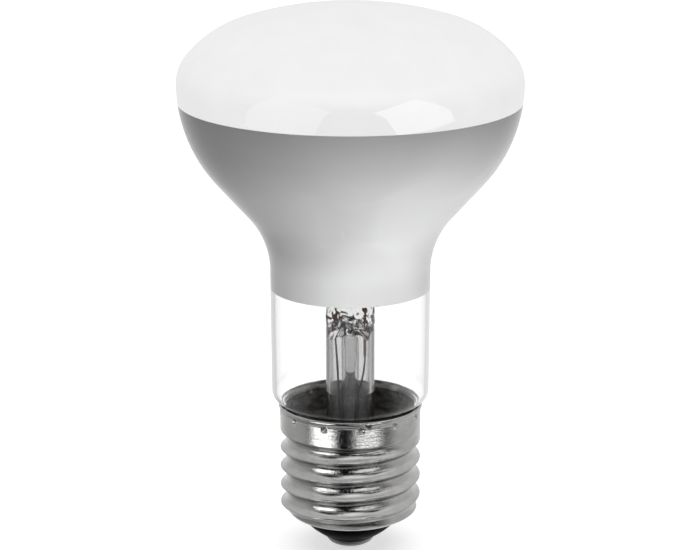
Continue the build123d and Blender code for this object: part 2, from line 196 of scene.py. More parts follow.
def place(piece, material, slot, *replaced):
    """Gives a piece its finish, fixes it to the lamp and lets it stand for its CAD nodes."""
    piece.data.materials.clear()
    piece.data.materials.append(material)
    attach(piece, "root")
    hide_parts(*replaced)


def see_through(piece):
    """Lets light through a glass piece to what is inside, without waiting for focused light."""
    piece.visible_shadow = False
    piece.visible_diffuse = False
    piece.visible_glossy = False


glass_bulb = spun("bulb_glass", bulb_line(0) + bulb_line(GLASS_WALL)[::-1], closed=False)
clear_glass, tree, shader = glass_finish(
    "clear_blown_glass", clearness=1.0, index=1.5, waves=90, drawn_out=0.25, depth=0.06)
shader.inputs["Base Color"].default_value = GLASS_TINT
place(glass_bulb, clear_glass, "clear_glass", "glass_bulb")
see_through(glass_bulb)

# White coat. Fine silica powder blown on the inside of the dome, which spreads the light; seen through
# the glossy glass it is an even white down to a crisp line just under the widest place. Its outer face
# lies a hair inside the glass, so that no air shows between the two.
COAT_EDGE = 85.3
COAT_BITE = 0.04
COAT_THICKNESS = 0.1
POWDER_TONES = ((0.925, 0.925, 0.922), (0.945, 0.945, 0.942))


def cut_below(points, height):
    """The part of a falling line above a height, ended exactly there."""
    kept = [points[0]]
    for (r0, z0), (r1, z1) in zip(points, points[1:]):
        if z1 <= height:
            share = (z0 - height) / (z0 - z1)
            kept.append((r0 + share * (r1 - r0), height))
            return kept
        kept.append((r1, z1))
    return kept


def coat_line(inset):
    """Profile of one face of the coat, from the crown to the coat's edge."""
    return cut_below(bulb_line(inset), COAT_EDGE)


def add_ramp(tree, source, low, high, places=(0.35, 0.65)):
    """Colour that goes from low to high between two places of a source's range."""
    ramp = tree.nodes.new("ShaderNodeValToRGB")
    for stop, where, shade in zip(ramp.color_ramp.elements, places, (low, high)):
        stop.position = where
        stop.color = (*shade, 1)
    tree.links.new(source, ramp.inputs["Fac"])
    return ramp.outputs["Color"]


coat_outside = GLASS_WALL - COAT_BITE
coat_inside = coat_outside + COAT_THICKNESS
frost_coat = spun("white_coat", coat_line(coat_outside) + coat_line(coat_inside)[::-1], closed=False)
white_powder, tree, shader = new_finish("white_powder")
powder_tone = add_ramp(tree, add_noise(tree, scale=160, detail=6.0), *POWDER_TONES)
tree.links.new(powder_tone, shader.inputs["Base Color"])
shader.inputs["Roughness"].default_value = 0.8
shader.inputs["Specular IOR Level"].default_value = 0.1
add_bump(tree, add_noise(tree, scale=5000, detail=2.0), shader, depth=0.01)
place(frost_coat, white_powder, "white_coat", "frost_coat")

# Reflector film. Aluminium evaporated on the inside of the flank and the top of the neck; from outside,
# through the glass, it is a satin grey that ends in a clean edge a little below the top of the neck.
# Its colour is painted shade, darkest at its top and paler towards its bottom: each tone stands at a share of
# that way.
FILM_END = 50.25
FILM_SHADE_HEIGHTS = (86.5, 53.5)
FILM_SHADE_TONES = ((0.0, 0.17), (0.24, 0.26), (0.44, 0.365), (0.62, 0.405), (0.82, 0.42), (0.96, 0.49))
FILM_BLUE = 0.003


def film_line(inset):
    """Profile of one face of the film, from the coat's edge down to the film's own."""
    below = [point for point in bulb_line(inset) if point[1] < COAT_EDGE]
    return cut_below(coat_line(inset)[-1:] + below, FILM_END)


def add_height(tree, low, high):
    """0 at one height of a piece and 1 at another."""
    where = tree.nodes.new("ShaderNodeTexCoord")
    split = tree.nodes.new("ShaderNodeSeparateXYZ")
    spread = tree.nodes.new("ShaderNodeMapRange")
    spread.inputs["From Min"].default_value = low / 1000
    spread.inputs["From Max"].default_value = high / 1000
    tree.links.new(where.outputs["Object"], split.inputs[0])
    tree.links.new(split.outputs["Z"], spread.inputs["Value"])
    return spread.outputs["Result"]


mirror_film = spun("reflector_film", film_line(coat_outside) + film_line(coat_inside)[::-1])
satin_film, tree, shader = new_finish("satin_aluminium_film")
# Painted shade: the film's colour is darkest at its top and grows paler downwards.
film_shade_ramp = tree.nodes.new("ShaderNodeValToRGB")
while len(film_shade_ramp.color_ramp.elements) < len(FILM_SHADE_TONES):
    film_shade_ramp.color_ramp.elements.new(0.5)
for stop, (share, tone) in zip(film_shade_ramp.color_ramp.elements, FILM_SHADE_TONES):
    stop.position = share
    stop.color = (tone, tone, tone + FILM_BLUE, 1)
tree.links.new(add_height(tree, *FILM_SHADE_HEIGHTS), film_shade_ramp.inputs["Fac"])
tree.links.new(film_shade_ramp.outputs["Color"], shader.inputs["Base Color"])
shader.inputs["Metallic"].default_value = 1.0
shader.inputs["Roughness"].default_value = 0.72
add_bump(tree, add_noise(tree, scale=6000, detail=2.0), shader, depth=0.004)
place(mirror_film, satin_film, "reflector_film", "mirror_coat")

# Stem. A tube of clear lead glass with a flared rim fused to the neck; its top is pressed flat while hot
# round the two sealed wires, and the blow hole through one face leaves an uneven, sparkling patch.
STEM_STEPS = 96
STEM_RADIUS = 4.5
STEM_BORE = 3.7
RIM_RADIUS = 10.38
RIM_HEIGHT = 15.02
TUBE_START = 24
PRESS_START = 41
PRESS_ROW = 0.3
PRESS_BOTTOM = 41.64
PRESS_TOP = 52.04
PRESS_EDGE = 0.6
PRESS_HALF = 2.0
PRESS_TAPER = 3.0
BORE_DOME = 1.4
BORE_DOME_RADIUS = 1.6
BORE_END = (41, 44)
BORE_END_WAVE = 1.6
BORE_END_WAVES = 700
BORE_END_SLICE = 0.4
BORE_MARGIN = 0.01
CRUMPLE = 0.45
CRUMPLE_STARTS = (41.6, 43.2)
CRUMPLE_STOPS = (48.5, 50)
CRUMPLE_ACROSS = 0.3
FOLDS_ROUND = 900
FOLDS_DEEP = 500
FINE_FOLDS = 2.3
FINE_FOLD_SHARE = 0.6
ACROSS_SEED = Vector((7, 3, 5))
BLOW_HOLE = (-1.35, 45.2)
BLOW_RADIUS = 1.1
BLOW_DEPTH = 1.0
BLOW_RIM = 0.25
BLOW_RIM_PLACE = 1.1
BLOW_RIM_WIDTH = 0.5
BLOW_REACH = 1.6
FRONT_FACE = -0.5
STEM_FACE_TONE = (0.84, 0.84, 0.84)
STEM_EDGE_SHADE = (0.10, 0.10, 0.10)
STEM_EDGE_SHADE_PLACES = (0.3, 0.62)


def smooth_step(value, low, high):
    """Smooth step from 0 at low to 1 at high."""
    share = min(max((value - low) / (high - low), 0), 1)
    return share * share * (3 - 2 * share)


rim_bend = RIM_RADIUS - STEM_RADIUS
upper_flare, _ = arc((RIM_RADIUS, RIM_HEIGHT + GLASS_WALL), 180, rim_bend, -90, 14)
lower_flare, _ = arc((RIM_RADIUS, RIM_HEIGHT), 180, rim_bend + STEM_RADIUS - STEM_BORE, -90, 14)
stem_outline = [(RIM_RADIUS, RIM_HEIGHT), (RIM_RADIUS, RIM_HEIGHT + GLASS_WALL)] + upper_flare
stem_outline += [(STEM_RADIUS, TUBE_START + step) for step in range(17)]
stem_outline += [(STEM_RADIUS, PRESS_START + PRESS_ROW * step) for step in range(35)]
stem_outline += [(STEM_RADIUS, PRESS_TOP - PRESS_EDGE), (STEM_RADIUS - PRESS_EDGE, PRESS_TOP), (0, PRESS_TOP)]
stem_outline += [(0, PRESS_BOTTOM + BORE_DOME), (BORE_DOME_RADIUS, PRESS_BOTTOM + BORE_DOME)]
stem_outline += [(STEM_BORE, PRESS_BOTTOM)]
stem_outline += [(STEM_BORE, PRESS_BOTTOM - 1 - step) for step in range(16)] + lower_flare[::-1]
stem = spun("stem_glass", stem_outline, steps=STEM_STEPS)
for vertex in stem.data.vertices:
    height = vertex.co.z * 1000
    press = smooth_step(height, PRESS_BOTTOM, PRESS_BOTTOM + PRESS_TAPER)
    if press:
        flat = max(-PRESS_HALF / 1000, min(PRESS_HALF / 1000, vertex.co.y))
        vertex.co.y += (flat - vertex.co.y) * press
    in_bore = hypot(vertex.co.x, vertex.co.y) * 1000 < STEM_BORE + BORE_MARGIN
    if in_bore and BORE_END[0] < height < BORE_END[1]:
        spot = Vector((vertex.co.x * BORE_END_WAVES, vertex.co.y * BORE_END_WAVES, BORE_END_SLICE))
        vertex.co.z += BORE_END_WAVE / 1000 * noise.noise(spot)
    rough = smooth_step(height, *CRUMPLE_STARTS) * (1 - smooth_step(height, *CRUMPLE_STOPS))
    spot = Vector((vertex.co.x * FOLDS_ROUND, vertex.co.y * FOLDS_DEEP, vertex.co.z * FOLDS_ROUND))
    fold = noise.noise(spot) + FINE_FOLD_SHARE * noise.noise(spot * FINE_FOLDS)
    vertex.co.y += rough * CRUMPLE / 1000 * fold
    vertex.co.x += rough * CRUMPLE_ACROSS * CRUMPLE / 1000 * noise.noise(spot + ACROSS_SEED)
    off = hypot(vertex.co.x * 1000 - BLOW_HOLE[0], height - BLOW_HOLE[1]) / BLOW_RADIUS
    if vertex.co.y < FRONT_FACE / 1000 and off < BLOW_REACH:
        dent = BLOW_DEPTH * max(1 - off * off, 0)
        swollen_rim = BLOW_RIM * max(1 - ((off - BLOW_RIM_PLACE) / BLOW_RIM_WIDTH) ** 2, 0)
        vertex.co.y += (dent - swollen_rim) / 1000
stem_glass, tree, shader = glass_finish(
    "clear_lead_glass", clearness=0.965, index=1.56, waves=260, drawn_out=0.2, depth=0.12)
# Painted shade: the glass is coloured dark towards its edges, where the eye looks along the wall, in place of
# the dark surroundings seen through it.
edge = tree.nodes.new("ShaderNodeLayerWeight")
edge.inputs["Blend"].default_value = 0.5
stem_edge_shade = add_ramp(tree, edge.outputs["Facing"], STEM_FACE_TONE, STEM_EDGE_SHADE, STEM_EDGE_SHADE_PLACES)
tree.links.new(stem_edge_shade, shader.inputs["Base Color"])
place(stem, stem_glass, "clear_glass", "stem")
see_through(stem)

# Exhaust tube. A thin glass tube fused under the press, through which the air was drawn out; its lower
# end was melted shut inside the cap.
EXHAUST_STEPS = 64
EXHAUST_RADIUS = 1.6
EXHAUST_BORE = 1.0
EXHAUST_TOP = PRESS_BOTTOM + 1.35
EXHAUST_END = 12.0
EXHAUST_TIP = 2.4
exhaust_outline = [(0, EXHAUST_END), (0.8, EXHAUST_END + 0.15), (1.35, EXHAUST_END + 0.8)]
exhaust_outline += [(EXHAUST_RADIUS, EXHAUST_END + EXHAUST_TIP), (EXHAUST_RADIUS, EXHAUST_TOP)]
exhaust_outline += [(EXHAUST_BORE, EXHAUST_TOP), (EXHAUST_BORE, EXHAUST_END + EXHAUST_TIP)]
exhaust_outline += [(0, EXHAUST_END + EXHAUST_TIP / 2)]
exhaust_tube = spun("exhaust_tube_glass", exhaust_outline, steps=EXHAUST_STEPS, closed=False)
place(exhaust_tube, stem_glass, "clear_glass", "exhaust_tube")
see_through(exhaust_tube)

# Screw shell. Thin brass sheet drawn to a cup, nickel plated, with the round thread rolled into its wall,
# a ring of punch marks that grip the glass and a lip curled a little outwards. Inside it is dull, and its
# colour is painted shade: near black deep down, lighter towards the lip.
SHELL_STEPS = 360
SHEET = 0.25
SHELL_BOTTOM = 6.15
OPENING_RADIUS = 9.4
OPENING_FLANGE = (0.35, 0.02)
BOWL_START = 9.9
BOWL_RADIUS = 2.15
BOWL_FADE = (0.2, 1.6)
ROOT_RADIUS = 12.05
THREAD_ROW = 0.18
CREST_LEFT = 19.3
PITCH = 3.629
CREST_ROUND = 0.1
SCALLOP = 3.2
FADE_TOP = (0.27, 0.47)
FADE_BOTTOM = (-4.0, -3.4)
LAST_TURN = 9.0
LAST_SQUEEZE = 0.75
COLLAR_RADIUS = 13.1
COLLAR_FOOT = 24.0
COLLAR_MIDDLE = 25.2
COLLAR_RISE = 0.4
COLLAR_ROW = 0.3
DOT_ROW = 0.13
DOT_ROWS_START = 1.3
DOT_COUNT = 12
DOT_SPACING = 360 / DOT_COUNT
DOT_HEIGHT = 26.5
DOT_RADIUS = 0.54
DOT_DEPTH = 0.5
DOT_FULLNESS = 0.7
DOT_PHASE = -81.5
LIP_TOP = 28.2
LIP_CURL = ((13.04, 26.95), (13.03, 27.05), (13.09, 27.17), (13.24, 27.37),
            (13.38, 27.55), (13.43, 27.75), (13.43, 28.05), (13.38, LIP_TOP))
LIP_WAVE = 0.05
LIP_WAVES = ((1.0, 7, 40), (0.7, 17, 0), (0.5, 31, 80))
LIP_WAVE_LIMIT = 0.6
LIP_WAVE_START = 27.2
NICKEL_TONES = ((0.43, 0.427, 0.42), (0.50, 0.497, 0.49))
DEEP_SHADE_TONES = ((0.012, 0.011, 0.01), (0.06, 0.055, 0.05))
INSIDE_SHADE_TONES = ((0.05, 0.046, 0.042), (0.46, 0.45, 0.43))
INSIDE_SHADE_HEIGHTS = (20.5, 26.5)
NOISE_MIDDLE = (0.3, 0.7)


def ridge(angle, height):
    """Height of the rolled thread over its root at an angle and height, from 0 to 1."""
    turn = ((angle - 180) % 360) / 360
    if height < LAST_TURN:
        height = LAST_TURN - (LAST_TURN - height) / LAST_SQUEEZE
    along = (height - CREST_LEFT) / PITCH - turn
    off = 2 * abs(along - min(floor(along + 0.5), 0))
    crest = (1 - hypot(off, CREST_ROUND) + CREST_ROUND) ** SCALLOP if off < 1 - CREST_ROUND / 10 else 0
    if along > 0:
        off_collar = 2 * max(CREST_LEFT + PITCH + COLLAR_RISE * turn - height, 0) / PITCH
        collar = max(1 - off_collar, 0) ** SCALLOP
        crest += (1 - crest) * max(collar, smooth_step(turn, *FADE_TOP))
    return crest * smooth_step(turn + floor(along + 0.5), *FADE_BOTTOM)


def add_range(tree, source, low, high):
    """Number that goes from low to high over the middle of a noise."""
    spread = tree.nodes.new("ShaderNodeMapRange")
    spread.inputs["From Min"].default_value = NOISE_MIDDLE[0]
    spread.inputs["From Max"].default_value = NOISE_MIDDLE[1]
    spread.inputs["To Min"].default_value = low
    spread.inputs["To Max"].default_value = high
    tree.links.new(source, spread.inputs["Value"])
    return spread.outputs["Result"]


def add_mix(tree, factor, first, second, kind="RGBA"):
    """Mix of two sockets of one kind by a factor."""
    mix = tree.nodes.new("ShaderNodeMix")
    mix.data_type = kind
    pins = [pin for pin in mix.inputs if pin.enabled]
    for socket, pin in zip((factor, first, second), pins):
        tree.links.new(socket, pin)
    return next(pin for pin in mix.outputs if pin.enabled)


def calc(tree, operation, *values):
    """One sum on numbers or sockets."""
    step = tree.nodes.new("ShaderNodeMath")
    step.operation = operation
    for value, socket in zip(values, step.inputs):
        if isinstance(value, (int, float)):
            socket.default_value = value
        else:
            tree.links.new(value, socket)
    return step.outputs[0]


bowl, _ = arc((BOWL_START, SHELL_BOTTOM), 0, BOWL_RADIUS, 90, 14)
rows = [(OPENING_RADIUS - OPENING_FLANGE[0], SHELL_BOTTOM + OPENING_FLANGE[1])]
rows += [(OPENING_RADIUS, SHELL_BOTTOM)] + bowl
rise = bowl[-1][1]
while rise < COLLAR_FOOT:
    rise += THREAD_ROW
    rows.append((ROOT_RADIUS, rise))
rows += [(ROOT_RADIUS, rise + COLLAR_ROW * step) for step in range(1, 5)]
rows += [(ROOT_RADIUS, rise + DOT_ROWS_START + DOT_ROW * step) for step in range(12)]
rows += [(radius - COLLAR_RADIUS + ROOT_RADIUS, height) for radius, height in LIP_CURL]
cap_shell = spun("screw_shell", rows, steps=SHELL_STEPS, closed=False)
for vertex in cap_shell.data.vertices:
    radius = hypot(vertex.co.x, vertex.co.y) * 1000
    angle = atan2(vertex.co.y, vertex.co.x) * 180 / pi
    height = vertex.co.z * 1000
    swell = (COLLAR_RADIUS - ROOT_RADIUS) * ridge(angle, height)
    swell *= smooth_step(height, SHELL_BOTTOM + BOWL_FADE[0], SHELL_BOTTOM + BOWL_FADE[1])
    off_angle = (angle - DOT_PHASE + DOT_SPACING / 2) % DOT_SPACING - DOT_SPACING / 2
    off = hypot(radians(off_angle) * COLLAR_RADIUS, height - DOT_HEIGHT) / DOT_RADIUS
    if off < 1:
        swell -= DOT_DEPTH * (1 - off * off) ** DOT_FULLNESS
    wave = sum(size * sin(radians(count * angle + phase)) for size, count, phase in LIP_WAVES)
    swell += LIP_WAVE * min(wave, LIP_WAVE_LIMIT) * smooth_step(height, LIP_WAVE_START, LIP_TOP)
    vertex.co.x *= (radius + swell) / radius
    vertex.co.y *= (radius + swell) / radius
bpy.ops.object.mode_set(mode="EDIT")
bpy.ops.mesh.select_all(action="SELECT")
bpy.ops.mesh.normals_make_consistent(inside=False)
bpy.ops.object.mode_set(mode="OBJECT")
collar_face = min(cap_shell.data.polygons, key=lambda face: abs(face.center.z * 1000 - COLLAR_MIDDLE))
if collar_face.normal.dot(Vector((collar_face.center.x, collar_face.center.y, 0))) < 0:
    cap_shell.data.flip_normals()
sheet = cap_shell.modifiers.new("sheet", "SOLIDIFY")
sheet.thickness = SHEET / 1000
sheet.offset = -1
outer_count = len(cap_shell.data.vertices)
bpy.ops.object.modifier_apply(modifier="sheet")
inside_mark = cap_shell.data.attributes.new("inside", "FLOAT", "POINT")
for number in range(outer_count, len(cap_shell.data.vertices)):
    inside_mark.data[number].value = 1.0
nickel, tree, shader = new_finish("bright_nickel")
inside = tree.nodes.new("ShaderNodeAttribute")
inside.attribute_name = "inside"
cloud = add_noise(tree, scale=300, detail=5.0, stretch=(1, 1, 2))
bright = add_ramp(tree, cloud, *NICKEL_TONES)
# Painted shade inside the shell: near black deep down, lighter towards the lip.
deep_shade = add_ramp(tree, cloud, *DEEP_SHADE_TONES)
upper_inside_shade = add_ramp(tree, cloud, *INSIDE_SHADE_TONES)
inside_shade = add_mix(tree, add_height(tree, *INSIDE_SHADE_HEIGHTS), deep_shade, upper_inside_shade)
tree.links.new(add_mix(tree, inside.outputs["Fac"], bright, inside_shade), shader.inputs["Base Color"])
shader.inputs["Metallic"].default_value = 1.0
polish = add_range(tree, cloud, low=0.08, high=0.17)
tarnish = add_range(tree, cloud, low=0.5, high=0.65)
tree.links.new(add_mix(tree, inside.outputs["Fac"], polish, tarnish, "FLOAT"), shader.inputs["Roughness"])
grain = add_noise(tree, scale=4600, detail=3.0)
rolling_lines = add_noise(tree, scale=260, detail=3.0, stretch=(1, 1, 18))
add_bump(tree, calc(tree, "ADD", grain, rolling_lines), shader, depth=0.04, strength=0.8)
place(cap_shell, nickel, "nickel_plate", "cap_shell")

# Insulator. Black glass cast into the open bottom of the shell, a smooth cone with a slight belly that
# keeps the centre contact apart from the shell.
INSULATOR_STEPS = 128
INSULATOR_BORE = 1.4
INSULATOR_FLAT = 4.2
INSULATOR_FOOT = (4.55, 1.78)
INSULATOR_RIM = (9.35, 6.1)
INSULATOR_BELLY = 0.6
INSULATOR_TOP = 7.45
BLACK_TONES = ((0.001, 0.001, 0.001), (0.004, 0.004, 0.004))


def cloudy_finish(name, tones, roughness, clouds, metallic):
    """Finish whose tone and roughness change in soft clouds, counted per metre."""
    material, tree, shader = new_finish(name)
    cloud = add_noise(tree, clouds)
    tree.links.new(add_ramp(tree, cloud, *tones), shader.inputs["Base Color"])
    tree.links.new(add_range(tree, cloud, *roughness), shader.inputs["Roughness"])
    shader.inputs["Metallic"].default_value = metallic
    return material, tree, shader


insulator_outline = [(INSULATOR_BORE, INSULATOR_FOOT[1]), (INSULATOR_FLAT, INSULATOR_FOOT[1])]
for step in range(11):
    share = step / 10
    radius, height = (low + (high - low) * share for low, high in zip(INSULATOR_FOOT, INSULATOR_RIM))
    insulator_outline.append((radius + INSULATOR_BELLY * sin(pi * share), height))
insulator_outline += [(INSULATOR_RIM[0], 6.5), (9.7, 6.65), (10.6, 7.2), (11.2, INSULATOR_TOP)]
insulator_outline += [(4.5, INSULATOR_TOP), (INSULATOR_BORE, INSULATOR_TOP)]
insulator = spun("insulator", insulator_outline, steps=INSULATOR_STEPS)
black_glass, tree, shader = cloudy_finish(
    "black_cast_glass", BLACK_TONES, roughness=(0.25, 0.4), clouds=500, metallic=0.0)
shader.inputs["Specular IOR Level"].default_value = 0.005
add_bump(tree, add_noise(tree, scale=420, detail=2.0), shader, depth=0.08)
place(insulator, black_glass, "black_glass", "cap_insulator")

# Centre contact. A plate stamped to a shallow dish, with a hollow eyelet that goes up through the
# insulator and takes the centre lead.
CONTACT_STEPS = 128
CONTACT_FACE = 0.42
CONTACT_BACK = 1.74
EYELET_BORE = 0.95
EYELET_RADIUS = 1.38
EYELET_TOP = 3.28
CONTACT_TONES = ((0.44, 0.435, 0.43), (0.54, 0.535, 0.53))
contact_outline = [(EYELET_BORE, CONTACT_FACE), (2.9, CONTACT_FACE), (3.5, 0.56), (4.0, 0.85), (4.32, 1.2)]
contact_outline += [(4.44, 1.5), (4.42, 1.7), (4.3, CONTACT_BACK), (EYELET_RADIUS, CONTACT_BACK)]
contact_outline += [(EYELET_RADIUS, EYELET_TOP), (EYELET_BORE, EYELET_TOP)]
contact_plate = spun("contact_plate", contact_outline, steps=CONTACT_STEPS)
contact_metal, tree, shader = cloudy_finish(
    "stamped_contact_metal", CONTACT_TONES, roughness=(0.6, 0.72), clouds=700, metallic=1.0)
add_bump(tree, add_noise(tree, scale=2600, detail=3.0), shader, depth=0.02)
place(contact_plate, contact_metal, "contact_metal", "centre_contact")

# Solder. A drop of tin solder melted into the eyelet, which closes it round the end of the centre lead
# and stands out under the plate with a small flat on its tip.
SOLDER_STEPS = 96
SOLDER_RADIUS = 2.5
SOLDER_PLUG = 0.88
SOLDER_TOP = 1.88
SOLDER_TONES = ((0.52, 0.52, 0.53), (0.66, 0.66, 0.66))
solder_outline = [(0, 0), (1.0, 0), (1.5, 0.03), (2.0, 0.1), (2.35, 0.22), (SOLDER_RADIUS, 0.4)]
solder_outline += [(SOLDER_PLUG, 0.41), (SOLDER_PLUG, SOLDER_TOP), (0, SOLDER_TOP)]
solder = spun("solder_drop", solder_outline, steps=SOLDER_STEPS, closed=False)
solder_metal, tree, shader = cloudy_finish(
    "cast_solder", SOLDER_TONES, roughness=(0.3, 0.45), clouds=1200, metallic=1.0)
add_bump(tree, add_noise(tree, scale=1500, detail=3.0), shader, depth=0.05)
place(solder, solder_metal, "solder", "contact_solder")

# Sealed wires and centre lead. Two copper-coated wires are sealed through the press; below it thin dark
# leads are welded on, and the centre lead runs down to the eyelet. All keep their CAD shape.
COPPER_TONES = ((0.09, 0.045, 0.03), (0.20, 0.10, 0.07))
LEAD_TONES = ((0.02, 0.017, 0.015), (0.05, 0.04, 0.036))
ROUGHNESS_SPREAD = 0.08


def drawn_wire(name, tones, metallic, roughness, streaks=900):
    """Finish of a drawn wire, with streaks along it and a spread of tone."""
    material, tree, shader = new_finish(name)
    streak = add_noise(tree, scale=streaks, detail=4.0, stretch=(1, 1, 0.2))
    tree.links.new(add_ramp(tree, streak, *tones), shader.inputs["Base Color"])
    shader.inputs["Metallic"].default_value = metallic
    uneven = add_range(tree, streak, roughness - ROUGHNESS_SPREAD, roughness + ROUGHNESS_SPREAD)
    tree.links.new(uneven, shader.inputs["Roughness"])
    add_bump(tree, streak, shader, depth=0.01)
    return material


def dress(material, *names):
    """Gives CAD nodes that keep their shape a finish."""
    for name in names:
        for holder in nodes[name].material_slots:
            holder.material = material


oxidised_copper = drawn_wire("oxidised_copper", COPPER_TONES, metallic=0.6, roughness=0.45)
dress(oxidised_copper, "dumet_left", "dumet_right")
dark_lead = drawn_wire("dark_lead", LEAD_TONES, metallic=0.5, roughness=0.5)
dress(dark_lead, "centre_lead")

# Side lead. The other thin lead: it leaves the stem's lower end, crosses to the wall of the shell and goes
# up between glass and shell to the lip. A stop of its run is a radius, an angle and a height.
LEAD_DIAMETER = 0.35
LEAD_BEND = 0.7
LONGEST_SHARE = 0.45
LEAD_ROUNDNESS = 4
SIDE_ANGLE = -75
SIDE_LEAD_TOP = ((-2.7, 0, 41.04), (-2.7, 0, 40.24))
SIDE_LEAD_RUN = (
    (2.65, -153, 37.06),
    (2.65, -137, 28.26),
    (2.65, -120, 15.8),
    (5.6, -85, 12.0),
    (11.5, SIDE_ANGLE, 12.0),
    (11.5, SIDE_ANGLE, 23.3),
    (12.62, SIDE_ANGLE, 24.4),
    (12.62, SIDE_ANGLE, 27.0),
    (12.95, SIDE_ANGLE, 28.0),
)


def polar(radius, angle, height):
    """Point at a radius and angle round the lamp's axis."""
    return Vector((radius * cos(radians(angle)), radius * sin(radians(angle)), height))


def rounded(points, bend):
    """The same line with each corner drawn as a short curve."""
    line = [points[0]]
    for before, corner, after in zip(points, points[1:], points[2:]):
        back = before - corner
        onward = after - corner
        start = corner + back.normalized() * min(bend, back.length * LONGEST_SHARE)
        stop = corner + onward.normalized() * min(bend, onward.length * LONGEST_SHARE)
        for step in range(7):
            t = step / 6
            line.append(start * (1 - t) ** 2 + corner * 2 * t * (1 - t) + stop * t * t)
    return line + [points[-1]]


lead_line = [Vector(point) for point in SIDE_LEAD_TOP] + [polar(*point) for point in SIDE_LEAD_RUN]
side_lead = drawn_line("side_lead_wire", rounded(lead_line, LEAD_BEND))
bpy.ops.object.mode_set(mode="OBJECT")
bpy.ops.object.convert(target="CURVE")
side_lead.data.bevel_depth = LEAD_DIAMETER / 2000
side_lead.data.bevel_resolution = LEAD_ROUNDNESS
side_lead.data.use_fill_caps = True
bpy.ops.object.convert(target="MESH")
bpy.ops.object.shade_smooth_by_angle(angle=radians(SMOOTH_ANGLE))
place(side_lead, dark_lead, "thin_lead", "side_lead")

# Weld bead. A small burnt drop of metal under the lip, left where the end of the side lead was melted
# on to the shell; it is drawn out along the lip and uneven all over.
BEAD_HALVES = (0.62, 0.34, 0.4)
BEAD_TURN = -15
BEAD_RADIUS = 13.2
BEAD_HEIGHT = 27.45
BEAD_LUMPS = 2600
BEAD_LUMP_HEIGHT = 0.12
WELD_TONES = ((0.03, 0.03, 0.03), (0.16, 0.15, 0.14))
bpy.ops.object.select_all(action="DESELECT")
bpy.ops.mesh.primitive_ico_sphere_add(subdivisions=4, radius=0.001)
weld_bead = bpy.context.object
weld_bead.name = "weld_bead"
bpy.ops.object.mode_set(mode="EDIT")
bpy.ops.mesh.select_all(action="SELECT")
bpy.ops.transform.resize(value=BEAD_HALVES)
bpy.ops.transform.rotate(value=radians(BEAD_TURN), orient_axis="Z", center_override=(0, 0, 0))
bpy.ops.transform.translate(value=polar(BEAD_RADIUS, SIDE_ANGLE, BEAD_HEIGHT) / 1000)
bpy.ops.object.mode_set(mode="OBJECT")
for vertex in weld_bead.data.vertices:
    vertex.co += vertex.normal * (BEAD_LUMP_HEIGHT / 1000) * noise.noise(vertex.co * BEAD_LUMPS)
bpy.ops.object.shade_smooth_by_angle(angle=radians(SMOOTH_ANGLE))
burnt_weld = drawn_wire("burnt_weld", WELD_TONES, metallic=0.8, roughness=0.45, streaks=1500)
place(weld_bead, burnt_weld, "weld", "side_weld")

# Filament mount. Inside the coated bulb two nickel leads carry an open ring of coiled tungsten, held
# up by three hooks of fine wire set in the button on top of a glass rod. All keep their CAD shape.
NICKEL_WIRE_TONES = ((0.48, 0.46, 0.42), (0.60, 0.58, 0.54))
HOOK_TONES = ((0.36, 0.36, 0.37), (0.46, 0.46, 0.47))
TUNGSTEN_TONES = ((0.16, 0.16, 0.17), (0.26, 0.26, 0.27))
HOOKS = [f"support_wire_{number}" for number in (1, 2, 3)]
drawn_nickel = drawn_wire("drawn_nickel", NICKEL_WIRE_TONES, metallic=1.0, roughness=0.3)
dress(drawn_nickel, "inner_lead_left", "inner_lead_right")
hook_wire = drawn_wire("hook_wire", HOOK_TONES, metallic=1.0, roughness=0.35)
dress(hook_wire, *HOOKS)
coiled_tungsten = drawn_wire("coiled_tungsten", TUNGSTEN_TONES, metallic=1.0, roughness=0.45, streaks=3000)
dress(coiled_tungsten, "filament")
dress(stem_glass, "mount_button")

# Floor. A wide pale sheet under the lamp. A little glow makes it white to the camera and through the
# glass, and it keeps the lamp's soft shadow. Light from below passes through it.
FLOOR_WIDTH = 8000
FLOOR_TONE = (0.85, 0.85, 0.85, 1)
FLOOR_GLOW = 0.45


def seen_directly(tree):
    """1 for camera, glossy and transmission rays, 0 for the light that falls on things."""
    path = tree.nodes.new("ShaderNodeLightPath")
    mirrored = calc(tree, "MAXIMUM", path.outputs["Is Camera Ray"], path.outputs["Is Glossy Ray"])
    return calc(tree, "MAXIMUM", mirrored, path.outputs["Is Transmission Ray"])


bpy.ops.object.select_all(action="DESELECT")
bpy.ops.mesh.primitive_plane_add(size=FLOOR_WIDTH / 1000)
floor_sheet = bpy.context.object
floor_sheet.name = "floor"
pale, tree, shader = new_finish("pale_floor")
shader.inputs["Base Color"].default_value = FLOOR_TONE
shader.inputs["Roughness"].default_value = 0.9
shader.inputs["Specular IOR Level"].default_value = 0.0
shader.inputs["Emission Color"].default_value = (1, 1, 1, 1)
tree.links.new(calc(tree, "MULTIPLY", seen_directly(tree), FLOOR_GLOW), shader.inputs["Emission Strength"])
floor_sheet.data.materials.append(pale)
floor_sheet.visible_glossy = False
floor_sheet.visible_shadow = False

